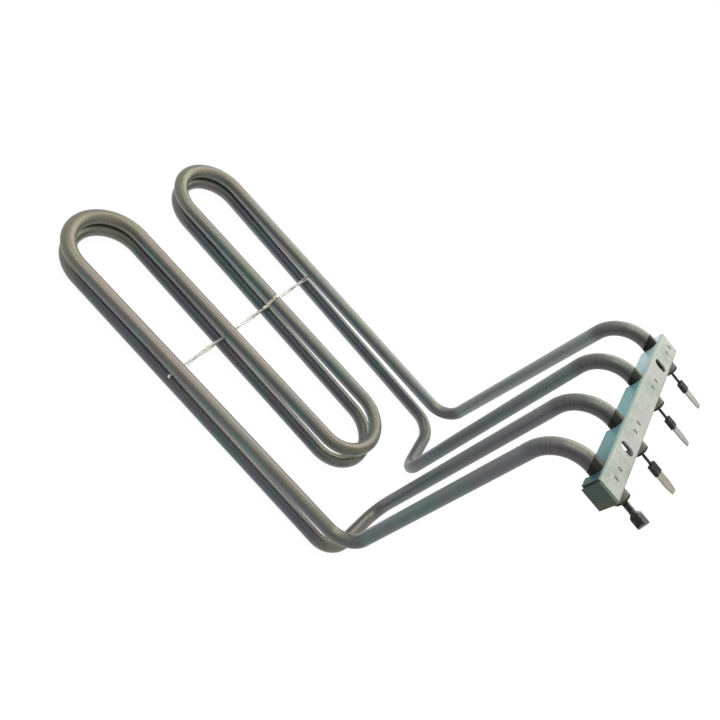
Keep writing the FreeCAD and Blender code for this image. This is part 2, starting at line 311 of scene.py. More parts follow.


# %% [markdown]
# The legs are warm on the upper side, towards the lamps, and cool below, which paints light and shade
# over the heat tint's patches, and noise breaks the border between the two. The legs on the right have
# a rosy cast on that lit side, the lower tube lies in the shade of the upper one and gets painted shade,
# and a strip along the lower right of each leg is pale with a painted reflection of the floor.

# %% Tints of the legs
STEEL = (0.150, 0.145, 0.124)
TAN = (0.200, 0.178, 0.136)
OLIVE = (0.138, 0.152, 0.096)
BROWN = (0.168, 0.138, 0.108)
TEAL = (0.078, 0.154, 0.142)
SLATE = (0.104, 0.130, 0.154)
PLUM = (0.138, 0.106, 0.132)
# Painted shade of the lower tube, where the upper tube shades it.
DEEP_SHADE = (0.062, 0.052, 0.090)
ROSY = (0.215, 0.170, 0.145)
# A pale colour for painted light: a painted reflection of the floor on the legs' lower right side, and
# painted light on the risers.
PALE_LIGHT = (0.330, 0.365, 0.345)
COOL_TONES = [(0.36, TEAL), (0.44, SLATE), (0.52, PLUM), (0.62, TEAL)]
WARM_TONES = [(0.34, OLIVE), (0.44, STEEL), (0.56, BROWN), (0.66, TAN)]
LOWER_RIGHT_SIDE = (0.75, 0.0, -0.66)
STREAK_WARMTH = 0.9
PATCH_WARMTH = 0.7
RISER_COOLING = 0.40
SHADE_COOLING = 1.6
OLIVE_SHARE = 0.80
ROSY_SHARE = 0.50
PALE_LIGHT_SHARE = 0.55
PALE_LIGHT_LESS_RIGHT = 0.30


def leg_tints(finish, shaded):
    """Cool tones with warm ones on the lit side, a rosy cast on the right, painted shade and a painted
    reflection.
    """
    cool = finish.ramp(finish.patches - finish.risen * 0.04, COOL_TONES)
    warm = finish.ramp(finish.streaks + (finish.right - 0.5) * 0.10, WARM_TONES)
    broken = (finish.streaks - 0.5) * STREAK_WARMTH + (finish.patches - 0.5) * PATCH_WARMTH
    # Painted light and shade: warm tones on the side towards the lamps, cool ones below.
    warmth_and_light = finish.lit_side + broken - finish.risen * RISER_COOLING - shaded * SHADE_COOLING
    colour = finish.mix(warmth_and_light.step(-0.35, 0.35) * OLIVE_SHARE, cool, OLIVE)
    colour = finish.mix(warmth_and_light.step(0.15, 0.75), colour, warm)
    on_leg = (1 - finish.risen) * (1 - finish.bend)
    rosy = finish.right * on_leg * finish.lit_side.step(-0.25, 0.35)
    colour = finish.mix(rosy * (ROSY_SHARE - shaded), colour, ROSY)
    # Painted shade on the lower tube's legs.
    colour = finish.mix(on_leg * shaded, colour, DEEP_SHADE)
    # Painted reflection of the floor along the lower right of each leg.
    rubbed = finish.facing(LOWER_RIGHT_SIDE).step(0.45, 0.95) * (1 - finish.risen)
    return finish.mix(rubbed * (PALE_LIGHT_SHARE - finish.right * PALE_LIGHT_LESS_RIGHT), colour, PALE_LIGHT)


# %% [markdown]
# The risers have other colours: teal low down and more plum towards the top. The left ones, and the
# side of each that looks over the grid, are paler with painted light, and their right side is a little
# darker with painted shade.

# %% Tints of the risers
PLUM_Z = (0.075, 0.120)
RISER_LIGHT_X = (-0.005, -0.055)
GRID_SIDE = (0.0, -1.0, 0.0)
SHADED_SIDE = (0.96, -0.26, 0.0)
# A dark colour for dark rings and worn spots, and for painted shade on the side of the risers that faces
# the camera.
DARK_MARKS_AND_SHADE = (0.048, 0.049, 0.036)
RISER_SHARE = 0.40
PLUM_SHARE = 0.60
RISER_LIGHT_SHARE = 0.52
RISER_LIGHT_GRID_SHARE = 0.30
SIDE_SHADE_SHARE = 0.20


def riser_tints(finish, colour):
    """Teal and plum over the legs' tones, painted light on the left and over the grid, painted shade on the
    right.
    """
    heated = finish.mix(finish.z.step(*PLUM_Z) * PLUM_SHARE, TEAL, PLUM)
    colour = finish.mix(finish.risen * (1 - finish.bend) * RISER_SHARE, colour, heated)
    # Painted light on the left risers and on the side of each that looks over the grid.
    worn = finish.x.step(*RISER_LIGHT_X) * RISER_LIGHT_SHARE + finish.facing(GRID_SIDE).step(0.30, 0.95) * RISER_LIGHT_GRID_SHARE
    colour = finish.mix(finish.risen * worn, colour, PALE_LIGHT)
    # Painted shade on the risers' right side.
    side_shade = finish.facing(SHADED_SIDE).step(0.50, 1.0) * SIDE_SHADE_SHARE
    return finish.mix(finish.risen * side_shade, colour, DARK_MARKS_AND_SHADE)


# %% [markdown]
# Bending changes the colour too. The turns of the grid are olive, most of all on the right and least
# of all at the middle turn, and the bends at the top are brown, with olive above as a painted highlight
# and plum as painted shade on their lower right side. Everywhere faint dark and pale rings lie across
# the tube, a little stronger where it bends.

# %% Tints of the bends
TURN_OLIVE = (0.185, 0.172, 0.098)
BEND_BROWN = (0.078, 0.071, 0.052)
BEND_PLUM_SHADE = (0.058, 0.048, 0.062)
PALE_RING = (0.240, 0.232, 0.190)
TURN_SHARE = 0.30
TURN_MORE_RIGHT = 0.25
TURN_LESS_MIDDLE = 0.18
MIDDLE_TURN_Y = (0.0, 0.04)
BROWN_SHARE = 0.62
BROWN_LESS_OUTSIDE = 0.26
OUTSIDE_X = (0.030, 0.050)
TOP_HIGHLIGHT_SHARE = 0.38
TOP_SHADE_SHARE = 0.65
DARK_RING_SHARE = 0.09
DARK_RING_AT_BEND = 0.05
PALE_RING_SHARE = 0.03
PALE_RING_AT_BEND = 0.06


def bend_tints(finish, colour):
    """Olive turns low down; brown bends at the top, with a painted olive highlight above and painted plum
    shade on the lower right.
    """
    at_middle = finish.y.step(*MIDDLE_TURN_Y)
    turn_share = finish.right * TURN_MORE_RIGHT + TURN_SHARE - at_middle * TURN_LESS_MIDDLE
    colour = finish.mix(finish.bend * (1 - finish.risen) * turn_share, colour, TURN_OLIVE)
    top_bend = finish.risen * finish.bend
    brown_share = BROWN_SHARE - finish.x.step(*OUTSIDE_X) * BROWN_LESS_OUTSIDE
    colour = finish.mix(top_bend * brown_share, colour, BEND_BROWN)
    # Painted highlight: olive on the side of the top bends towards the lamps.
    colour = finish.mix(top_bend * finish.lit_side.step(0.0, 0.9) * TOP_HIGHLIGHT_SHARE, colour, TURN_OLIVE)
    # Painted shade: plum on the top bends' lower right side.
    plum_shade_side = finish.facing(LOWER_RIGHT_SIDE).step(-0.20, 0.80)
    return finish.mix(top_bend * plum_shade_side * TOP_SHADE_SHARE, colour, BEND_PLUM_SHADE)


def ring_tints(finish, colour):
    """Faint dark and pale rings across the tube."""
    banded = finish.rings.step(0.38, 0.62)
    dark_share = finish.bend * DARK_RING_AT_BEND + DARK_RING_SHARE
    pale_share = finish.bend * PALE_RING_AT_BEND + PALE_RING_SHARE
    colour = finish.mix(banded * dark_share, colour, DARK_MARKS_AND_SHADE)
    return finish.mix((1 - banded) * pale_share, colour, PALE_RING)


# %% [markdown]
# Next to the bracket the steel is nearly black, and the edge of the dark zone leans across the tube.
# A few worn spots and a painted highlight on the upper side show that it is still metal. Past the
# bracket, the rim at the tube's end is grey.

# %% The dark zone
TUBE_R = 4 * MM
TERMINAL_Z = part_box("upper_sheath")[1].z - TUBE_R
DARK_ZONE = (0.016, 0.019, 0.014)
GLINT = (0.300, 0.300, 0.225)
END_GREY = (0.175, 0.190, 0.165)
DARK_ZONE_Y = (0.1007, 0.1015)
DARK_ZONE_LEAN = 0.64
GLINT_SIDE = (-0.20, 0.0, 0.98)
GLINT_Y = (0.0985, 0.1010)
GLINT_SHARE = 0.60
END_GREY_Y = (0.1175, 0.1181)
END_RIM_Y = (0.1213, 0.1209)


def dark_zone_mask(finish):
    """1 from the leaning edge of the dark zone to the tube's end."""
    leaning = finish.y + (finish.z - TERMINAL_Z) * DARK_ZONE_LEAN
    return leaning.step(*DARK_ZONE_Y)


def dark_zone_tints(finish):
    """Black with worn spots and a painted highlight, and a grey rim."""
    spots = (finish.streaks + finish.lit_side * 0.12).step(0.46, 0.66)
    colour = finish.mix(spots, DARK_ZONE, DARK_MARKS_AND_SHADE)
    # Painted highlight: a glint on the upper side of the dark zone.
    glint = finish.facing(GLINT_SIDE).step(0.90, 0.99) * finish.y.step(*GLINT_Y)
    colour = finish.mix(glint * finish.streaks.step(0.35, 0.60) * GLINT_SHARE, colour, GLINT)
    return finish.mix(finish.y.step(*END_GREY_Y) * finish.y.step(*END_RIM_Y), colour, END_GREY)


# %% The whole sheath finish
RIPPLE_DEPTH = 0.010 * MM
LEVELS = ("upper", "lower")
SHADE = {"upper": 0.0, "lower": 0.32}


def sheath_finish(name, shaded):
    """Heat-tinted steel with painted light and shade, darker by a share of painted shade on the legs, with
    ripples at the bends and a dark zone by the bracket.
    """
    finish = SheathFinish(name)
    colour = leg_tints(finish, shaded)
    for add_tints in (riser_tints, bend_tints, ring_tints):
        colour = add_tints(finish, colour)
    dark_zone = dark_zone_mask(finish)
    colour = finish.mix(dark_zone, colour, dark_zone_tints(finish))
    relief = finish.bump(finish.rings * (finish.bend * 0.7 + 0.3), RIPPLE_DEPTH)
    roughness = 0.42 + finish.streaks * 0.12 + dark_zone * 0.20
    return finish.shade(Base_Color=colour, Metallic=0.80, Roughness=roughness, Normal=relief,
                        Coat_Weight=0.60 - dark_zone * 0.55, Coat_Roughness=0.26)


SHEATH_STEEL = {level: sheath_finish(level + "_sheath_steel", SHADE[level]) for level in LEVELS}

# %% [markdown]
# ## Tubes that follow a path
#
# The real tube was straight and was bent round dies, so it is a line of corners with a radius at
# each. A curve with a round bevel would look the same, but it carries no values for a finish. Here
# Geometry Nodes round the corners, cut the line into equal steps, sweep a circle along it and write
# the values that the finish reads. The tree serves the sheaths and the spacer wire, so its sizes
# are inputs.


# %% Helpers for geometry trees
SHARP_ANGLE = 0.9


def new_group(name, sizes):
    """A geometry tree with named inputs, each a name and a socket type, and the outputs that give them."""
    group = bpy.data.node_groups.new(name, "GeometryNodeTree")
    group.interface.new_socket("Geometry", in_out="INPUT", socket_type="NodeSocketGeometry")
    for label, kind in sizes:
        group.interface.new_socket(label, in_out="INPUT", socket_type=kind)
    group.interface.new_socket("Geometry", in_out="OUTPUT", socket_type="NodeSocketGeometry")
    tree = Tree(group)
    return tree, [tree.node("NodeGroupInput", output=i) for i in range(1 + len(sizes))]


def store(tree, geometry, name, value, kind="FLOAT"):
    """Writes a value on every point under a name."""
    settings = {"data_type": kind, "domain": "POINT"}
    inputs = {"Geometry": geometry, "Name": name, "Value": value}
    return tree.node("GeometryNodeStoreNamedAttribute", settings, inputs)


def smooth_sides(tree, geometry):
    """Smooth faces with a sharp edge wherever two faces meet at more than an angle."""
    angle = tree.node("GeometryNodeInputMeshEdgeAngle")
    inputs = {"Geometry": geometry, "Selection": angle > SHARP_ANGLE, "Shade Smooth": False}
    return tree.node("GeometryNodeSetShadeSmooth", {"domain": "EDGE"}, inputs)


def finish_geometry(tree, geometry, material):
    """Ends a geometry tree: plain mesh, one material."""
    plain = tree.node("GeometryNodeRealizeInstances", inputs={"Geometry": geometry})
    coated = tree.node("GeometryNodeSetMaterial", inputs={"Geometry": plain, "Material": material})
    tree.node("NodeGroupOutput", inputs={0: coated})
    print("tree:", tree.made.name, "nodes:", len(tree.made.nodes))


# %% The tree for a bent tube
# A side towards the lamps, high on the far side: the finishes paint light and shade by how far a surface
# faces it.
LIGHT_SIDE = (-0.55, 0.0, 0.83)
CORNER_POINTS = 40
BEND_FULL = 25 * MM
BEND_BLUR = 4


def bend_along(tree, step):
    """How strongly a line bends at each point, from the change of its direction to the next point."""
    tangent = tree.node("GeometryNodeInputTangent")
    inputs = {"Index": tree.node("GeometryNodeInputIndex") + 1, "Value": tangent}
    settings = {"data_type": "FLOAT_VECTOR", "domain": "POINT"}
    following = tree.node("GeometryNodeFieldAtIndex", settings, inputs)
    change = tree.vectors("DISTANCE", following, tangent)
    inputs = {"Value": (change / step * BEND_FULL).step(0.1, 0.7), "Iterations": BEND_BLUR}
    return tree.node("GeometryNodeBlurAttribute", {"data_type": "FLOAT"}, inputs)


def bent_tube_group():
    """Corners with radii in, a round tube with its values out."""
    sizes = [("Radius", "NodeSocketFloat"), ("Step", "NodeSocketFloat"), ("Sides", "NodeSocketInt"),
             ("Finish", "NodeSocketMaterial")]
    tree, (corners, radius, step, sides, material) = new_group("bent_tube", sizes)
    line = tree.node("GeometryNodeMeshToCurve", inputs={0: corners})
    inputs = {"Name": "bend_radius"}
    bend_radius = tree.node("GeometryNodeInputNamedAttribute", {"data_type": "FLOAT"}, inputs)
    inputs = {"Curve": line, "Count": CORNER_POINTS, "Radius": bend_radius}
    line = tree.node("GeometryNodeFilletCurve", {"mode": "POLY"}, inputs)
    line = tree.node("GeometryNodeResampleCurve", {"mode": "LENGTH"}, {"Curve": line, "Length": step})
    line = store(tree, line, "along", tree.node("GeometryNodeSplineParameter", output="Length"))
    line = store(tree, line, "bend", bend_along(tree, step))
    circle = tree.node("GeometryNodeCurvePrimitiveCircle", inputs={"Resolution": sides, "Radius": radius})
    inputs = {"Curve": line, "Profile Curve": circle, "Fill Caps": True}
    tube = tree.node("GeometryNodeCurveToMesh", inputs=inputs)
    normal = tree.node("GeometryNodeInputNormal")
    tube = store(tree, tube, "outward", normal, "FLOAT_VECTOR")
    # How far each point faces the lamps, which the finishes read for painted light and shade.
    tube = store(tree, tube, "upward", tree.vectors("DOT_PRODUCT", normal, LIGHT_SIDE))
    finish_geometry(tree, smooth_sides(tree, tube), material)
    return tree.made


BENT_TUBE = bent_tube_group()


# %% Running a tree on a line
def corner_line(name, corners, radii):
    """A piece that is only a line through corners, each with the radius of its bend."""
    mesh = bpy.data.meshes.new(name)
    mesh.from_pydata(corners, [(i, i + 1) for i in range(len(corners) - 1)], [])
    mesh.attributes.new("bend_radius", "FLOAT", "POINT").data.foreach_set("value", radii)
    return add_object(name, mesh)


def run_group(piece, group, **sizes):
    """Runs a tree on a piece with the given sizes, and gives a new piece that is a plain mesh."""
    modifier = piece.modifiers.new(group.name, "NODES")
    modifier.node_group = group
    for item in group.interface.items_tree:
        if item.in_out == "INPUT" and item.name in sizes:
            modifier[item.identifier] = sizes[item.name]
    graph = bpy.context.evaluated_depsgraph_get()
    mesh = bpy.data.meshes.new_from_object(piece.evaluated_get(graph))
    name = piece.name
    bpy.data.objects.remove(piece)
    made = add_object(name, mesh)
    mesh.name = name
    print("piece:", name, "faces:", len(mesh.polygons))
    return made


def keep(piece, node):
    """The piece rides on the body and stands for the CAD node, which is hidden."""
    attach(piece, BODY)
    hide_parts(node)


# %% [markdown]
# ## The two sheaths
#
# Each tube runs from a terminal over the top bend, down a riser, out along the outer leg, round the
# outer turn, back along the inner leg and round the middle turn, and the other half mirrors it. The
# frame's boxes give the outer legs, the ends and the height of the terminals. Distances along Y are
# taken from the outer turns. The line could be read off the solids' meshes, but a few sizes with
# names are easier to check and to change.

# %% Sizes of the sheaths
UPPER_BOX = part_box("upper_sheath")
LOWER_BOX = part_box("lower_sheath")
START_Y = UPPER_BOX[0].y
END_Y = UPPER_BOX[1].y
UPPER_FIRST_Y = START_Y + TUBE_R
LOWER_FIRST_Y = LOWER_BOX[0].y + TUBE_R
LEG_OUTER_X = UPPER_BOX[1].x - TUBE_R
LEG_INNER_X = 21.7 * MM
RISER_Y = START_Y + 231 * MM
UPPER_TURN_Y = START_Y + 202 * MM
LOWER_TURN_Y = START_Y + 204.5 * MM
UPPER_TOP_X = 54.5 * MM
LOWER_TOP_X = 19.3 * MM
RISER_TOP_Y = START_Y + 230.8 * MM
JOG_START_Y = START_Y + 230 * MM
JOG_END_Y = START_Y + 235.2 * MM
LOWER_Z = LOWER_BOX[0].z + TUBE_R
LAYER_STEP = 8.2 * MM
LAYER_SPREAD = 7.0 * MM
TURN_R = (LEG_OUTER_X - LEG_INNER_X) / 2
TOP_BEND_R = 19 * MM
CORNER_R = 15.7 * MM
JOG_CORNER_R = 12 * MM
JOG_R = 14.9 * MM
NEARLY = 0.9995
print("outer legs at x:", round(LEG_OUTER_X, 4), "outer turns from y:", round(START_Y, 4))


# %% Paths of the sheaths
def upper_level(y):
    """Height of the upper grid, which rises a little towards the risers."""
    return LOWER_Z + LAYER_STEP + LAYER_SPREAD * (y - UPPER_FIRST_Y) / (RISER_Y - UPPER_FIRST_Y)


def mirrored(half, radii):
    """Both halves of a path, and the radius at each corner, a hair short of touching the next."""
    whole = half + [(-x, y, z) for x, y, z in reversed(half)]
    inner = [radius * NEARLY for radius in radii]
    return whole, [0.0] + inner + inner[::-1] + [0.0]


def upper_path():
    """Corners and radii of the upper tube."""
    half = [
        (UPPER_TOP_X, END_Y, TERMINAL_Z),
        (UPPER_TOP_X, RISER_TOP_Y, TERMINAL_Z),
        (LEG_OUTER_X, RISER_Y, upper_level(RISER_Y)),
        (LEG_OUTER_X, UPPER_FIRST_Y, upper_level(UPPER_FIRST_Y)),
        (LEG_INNER_X, UPPER_FIRST_Y, upper_level(UPPER_FIRST_Y)),
        (LEG_INNER_X, UPPER_TURN_Y, upper_level(UPPER_TURN_Y)),
    ]
    return mirrored(half, [TOP_BEND_R, CORNER_R, TURN_R, TURN_R, LEG_INNER_X])


def lower_path():
    """Corners and radii of the lower tube, whose outer legs turn inwards before they rise."""
    half = [
        (LOWER_TOP_X, END_Y, TERMINAL_Z),
        (LOWER_TOP_X, RISER_TOP_Y, TERMINAL_Z),
        (LOWER_TOP_X, JOG_END_Y, LOWER_Z),
        (LEG_OUTER_X, JOG_START_Y, LOWER_Z),
        (LEG_OUTER_X, LOWER_FIRST_Y, LOWER_Z),
        (LEG_INNER_X, LOWER_FIRST_Y, LOWER_Z),
        (LEG_INNER_X, LOWER_TURN_Y, LOWER_Z),
    ]
    return mirrored(half, [TOP_BEND_R, JOG_CORNER_R, JOG_R, TURN_R, TURN_R, LEG_INNER_X])


# %% Sheaths
TUBE_STEP = 1.2 * MM
TUBE_SIDES = 40
PATHS = {"upper": upper_path(), "lower": lower_path()}

for level in LEVELS:
    line = corner_line(level + "_tube", *PATHS[level])
    tube = run_group(line, BENT_TUBE, Radius=TUBE_R, Step=TUBE_STEP, Sides=TUBE_SIDES,
                     Finish=SHEATH_STEEL[level])
    keep(tube, level + "_sheath")

# %% [markdown]
# ## The bracket
#
# The bracket is plated sheet, folded. Its top is satin and pale. Its front flange is polished, with
# the plating's cool blue under a painted reflection that is pale at the far end and dark teal at the
# near end. Its near end tab is dull, and dark with painted shade, as it faces away from the key lamp;
# painted shade also darkens the front fold and the inside of the channel. Painting it by hand would
# tie the colours to this one size. Here masks made from the distance to the front edge, the top and
# the end choose between the colours, and noise at several scales breaks them up. The top comes first,
# with a green halo round each stake mark.

# %% Top of the bracket
BRACKET_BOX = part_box("bracket")
SHEET = 1 * MM
PLATE = (0.46, 0.48, 0.42)
PLATE_DULL = (0.33, 0.37, 0.31)
PLATE_WARM = (0.47, 0.46, 0.43)
MARK_GREEN = (0.25, 0.29, 0.23)
WARM_SHARE = 0.6
HALO_SHARE = 0.75
MARK_SPACING = 6.6 * MM
PUNCH_SHIFT = 2.5 * MM
MARK_Y = (BRACKET_BOX[0].y + BRACKET_BOX[1].y) / 2 + 0.6 * MM
HALO_X = 1.1 * MM
HALO_Y = 1.7 * MM
HALO_FADE = (1.4, 0.1)
CLOUD_SCALE = 90.0
SPECKLE_SCALE = 900.0
MOTTLE_SCALE = 420.0
WARM_PATCH_SCALE = 60.0


def top_tints(finish, clouds):
    """Satin plate with duller and warmer patches."""
    mottled = clouds * 0.6 + finish.noise(MOTTLE_SCALE, 2.0) * 0.4
    colour = finish.mix(mottled.step(0.38, 0.62), PLATE, PLATE_DULL)
    warmer = finish.noise(WARM_PATCH_SCALE, 1.0).step(0.45, 0.65)
    return finish.mix(warmer * WARM_SHARE, colour, PLATE_WARM)


def halo_tints(finish, colour, x, y):
    """A soft green oval round each of the eight stake marks."""
    for tube_x in (UPPER_TOP_X, LOWER_TOP_X, -LOWER_TOP_X, -UPPER_TOP_X):
        for side in (-1, 1):
            mark_x = tube_x - PUNCH_SHIFT + side * MARK_SPACING / 2
            across, along = (x - mark_x) / HALO_X, (y - MARK_Y) / HALO_Y
            near = (across * across + along * along).step(*HALO_FADE)
            colour = finish.mix(near * HALO_SHARE, colour, MARK_GREEN)
    return colour


# %% Bracket finish
LIP_PALE = (0.66, 0.82, 0.86)
LIP_CYAN = (0.22, 0.46, 0.47)
LIP_TEAL = (0.075, 0.17, 0.18)
LIP_REFLECTION_TONES = [(0.05, LIP_PALE), (0.40, LIP_CYAN), (0.70, LIP_CYAN), (0.92, LIP_TEAL)]
LIP_LENGTH = 132 * MM
LIP_WANDER = 20 * MM
END_SHADE = (0.058, 0.088, 0.080)
END_SHADE_OLIVE = (0.085, 0.100, 0.066)
END_BLEND = 14 * MM
FOLD_SHADE = (0.26, 0.30, 0.28)
FOLD_SHARE = 0.7
INSIDE_SHADE = (0.030, 0.038, 0.033)
PLATE_RELIEF = 0.02 * MM


def bracket_finish():
    """Plated sheet: satin top, polished front lip with a painted reflection, dull end tab with painted
    shade, painted shade on the front fold and inside, greenish stake marks.
    """
    finish = Finish("bracket_plate")
    low, high = BRACKET_BOX
    x, y, z = [finish.along(axis) for axis in "XYZ"]
    # Distances from the edges of the bracket, in millimetres.
    front, back, top, end = (y - low.y) / MM, (high.y - y) / MM, (high.z - z) / MM, (high.x - x) / MM
    clouds = finish.noise(CLOUD_SCALE)
    speckle = finish.noise(SPECKLE_SCALE, 2.0)
    plate = halo_tints(finish, top_tints(finish, clouds), x, y)
    # Painted reflection on the polished lip: pale at the far end, dark teal at the near end, in the
    # plating's blue.
    lip = finish.ramp((x + LIP_LENGTH / 2 + (clouds - 0.5) * LIP_WANDER) / LIP_LENGTH, LIP_REFLECTION_TONES)
    # Painted shade on the near end tab, which faces away from the key lamp, and along its top fold.
    tab = finish.mix((clouds + (y - MARK_Y) / END_BLEND).step(0.35, 0.75), END_SHADE, END_SHADE_OLIVE)
    # Painted shade on the front fold.
    on_fold = front.step(1.3, 0.7) * top.step(1.4, 0.8)
    on_lip = front.step(0.9, 0.3) * top.step(0.6, 1.2)
    at_end = end.step(2.4, 1.8) * top.step(0.6, 1.0)
    on_end = end.step(1.8, 1.3)
    in_mark = top.step(0.1, 0.25) * top.step(0.5, 0.35)
    # Painted shade inside the channel.
    inside = front.step(0.8, 1.2) * back.step(0.8, 1.2) * top.step(0.7, 1.1) * end.step(0.8, 1.2)
    colour = finish.mix(on_fold * FOLD_SHARE, plate, FOLD_SHADE)
    for mask, tint in ((on_lip, lip), (at_end, END_SHADE), (on_end, tab), (in_mark, MARK_GREEN),
                       (inside, INSIDE_SHADE)):
        colour = finish.mix(mask, colour, tint)
    roughness = 0.55 + (speckle - 0.5) * 0.2 - on_lip * 0.20 + on_end * 0.10
    relief = finish.bump(speckle + clouds, PLATE_RELIEF)
    return finish.shade(Base_Color=colour, Metallic=0.25, Roughness=roughness, Normal=relief)


def coat(names, material):
    """Gives CAD nodes that stay a finish."""
    for name in names:
        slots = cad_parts[name].data.materials
        slots.clear()
        slots.append(material)
    print(material.name, "on", ", ".join(names))


coat(["bracket"], bracket_finish())

# %% [markdown]
# At each end a narrow flap of the front lip is bent round behind the end tab, so that no light
# comes through the corner. It is only a strip of sheet with eased edges, so a box is scaled to size
# and bevelled in mesh code.

# %% Corner flaps
FLAP_LENGTH = 2.7 * MM
FLAP_THICKNESS = 0.6 * MM
FLAP_EDGE = FLAP_THICKNESS / 5
FLAP_GAP = 0.05 * MM
FLAP_BELOW_WEB = 0.6 * MM
END_TAB_INNER_X = BRACKET_BOX[1].x - SHEET
# The flaps take the end tab's painted shade colours.
FLAP_FINISH = dull_finish("flap_plate", END_SHADE, END_SHADE_OLIVE, scale=300.0, metallic=0.3, roughness=0.5)


def make_flap(name, side):
    """An upright strip inside the corner between the lip and the end tab, on the side -1 or 1."""
    low, high = BRACKET_BOX
    box = bmesh.new()
    bmesh.ops.create_cube(box, size=1.0)
    top, bottom = high.z - SHEET - FLAP_BELOW_WEB, low.z + FLAP_GAP
    size = Vector((FLAP_LENGTH, FLAP_THICKNESS, top - bottom))
    x = side * (END_TAB_INNER_X - FLAP_GAP - FLAP_LENGTH / 2)
    middle = Vector((x, low.y + SHEET + FLAP_GAP + FLAP_THICKNESS / 2, (top + bottom) / 2))
    for corner in box.verts:
        corner.co = middle + corner.co * size
    bmesh.ops.bevel(box, geom=box.edges[:], offset=FLAP_EDGE, segments=2, affect="EDGES")
    mesh = bpy.data.meshes.new("corner_flap")
    box.to_mesh(mesh)
    box.free()
    mesh.materials.append(FLAP_FINISH)
    flap = add_object(name, mesh)
    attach(flap, BODY)
    print("piece:", name, "faces:", len(mesh.polygons))


make_flap("corner_flap_left", -1)
make_flap("corner_flap_right", 1)

# %% [markdown]
# ## Terminals
#
# Each sheath ends in a bead of insulation, a pin and a tab. The shoulder of a tab is nearly black
# and the blade is bright. Two finishes with a hard border would look painted. One finish serves a
# whole tab instead: along Y it goes from nearly black to bright where the blade starts, with noise
# in the border. The near tab has lost its blade, and the neck of its stump is worn.

# %% Finishes of the tabs
BLADE_START_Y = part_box("lower_right_tab")[1].y - 11.4 * MM
SHOULDER_BLACK = (0.018, 0.021, 0.018)
SHOULDER_GREY = (0.055, 0.060, 0.052)
WORN_NECK = (0.260, 0.265, 0.240)
BLADE_GREY = (0.40, 0.41, 0.36)
BLADE_TINT = {"lower_right": (0.42, 0.385, 0.315), "upper_right": (0.30, 0.31, 0.29)}
STUMP = "upper_right"
SIDES = ("right", "left")
SCRATCH_SCALE = 2500.0
SCRATCH_STRETCH = (1.0, 0.08, 1.0)
SCRATCH_DARK = 0.7
BLOTCH_SCALE = 700.0
TAB_RELIEF = 0.05 * MM
BORDER_WANDER = 1.6 * MM
BORDER_SOFT = 0.3 * MM
NECK_WANDER = 2 * MM
NECK_EDGE = (0.6 * MM, 1.4 * MM)
NECK_SHARE = 0.8


def neck_mask(finish, blotches):
    """1 above a slope across the neck of the stump."""
    slope = finish.along("Z") - TERMINAL_Z - finish.along("X") + UPPER_TOP_X
    return (slope + (blotches - 0.5) * NECK_WANDER).step(*NECK_EDGE)


def tab_finish(place):
    """Nearly black shoulder, bright blade with fine scratches along it."""
    finish = Finish(place + "_tab_plating")
    y = finish.along("Y")
    inputs = {"Vector": finish.place, "Scale": SCRATCH_STRETCH}
    scratches = finish.noise(SCRATCH_SCALE, 2.0, vector=finish.node("ShaderNodeMapping", inputs=inputs))
    blotches = finish.noise(BLOTCH_SCALE)
    border = y + (blotches - 0.5) * BORDER_WANDER
    bright = border.step(BLADE_START_Y - BORDER_SOFT, BLADE_START_Y + BORDER_SOFT)
    dark_shoulder = finish.mix(blotches.step(0.45, 0.7), SHOULDER_BLACK, SHOULDER_GREY)
    light = BLADE_TINT.get(place, BLADE_GREY)
    blade = finish.mix(scratches.step(0.3, 0.75), tuple(SCRATCH_DARK * part for part in light), light)
    colour = finish.mix(bright, dark_shoulder, blade)
    if place == STUMP:
        colour = finish.mix(neck_mask(finish, blotches) * NECK_SHARE, colour, WORN_NECK)
    roughness = 0.62 - bright * 0.25 + (scratches - 0.5) * 0.2
    relief = finish.bump(blotches + scratches * 0.3, TAB_RELIEF)
    return finish.shade(Base_Color=colour, Metallic=0.6, Roughness=roughness, Normal=relief)


PLACES = [level + "_" + side for level in LEVELS for side in SIDES]
for place in PLACES:
    coat([place + "_tab"], tab_finish(place))

# %% [markdown]
# Pins, beads, powder and coils are small or hidden. They could each have a finish of their own, but
# two blotched tones and a grain are all that shows at their size, so one helper dresses them.

# %% Pins, beads and the hidden parts
PIN_STEEL = dull_finish("pin_steel", (0.020, 0.023, 0.020), (0.060, 0.064, 0.056),
                        scale=900.0, metallic=0.6, roughness=0.5)
SEAL_BEAD = dull_finish("seal_bead", (0.035, 0.042, 0.034), (0.085, 0.095, 0.078),
                        scale=700.0, metallic=0.0, roughness=0.7)
POWDER = dull_finish("white_powder", (0.78, 0.77, 0.72), (0.86, 0.85, 0.80),
                     scale=400.0, metallic=0.0, roughness=0.9)
COIL_WIRE = dull_finish("coil_alloy", (0.10, 0.09, 0.08), (0.18, 0.16, 0.14),
                        scale=600.0, metallic=0.8, roughness=0.5)
coat([place + "_pin" for place in PLACES], PIN_STEEL)
coat([place + "_seal" for place in PLACES], SEAL_BEAD)
coat([level + "_insulating_powder" for level in LEVELS], POWDER)
coat([level + "_heating_coil" for level in LEVELS], COIL_WIRE)

# %% [markdown]
# ## The wires
#
# Both wires are drawn steel: the spacer wire is bright where it is rubbed and has painted shade at
# its sides, and the soft binding wire is cream with a brown stain where it lies on the hot tube. Their
# ends are freshly cut and white. The mesh's own value for how far a side faces the lamps places the
# painted shade, so no picture is needed.

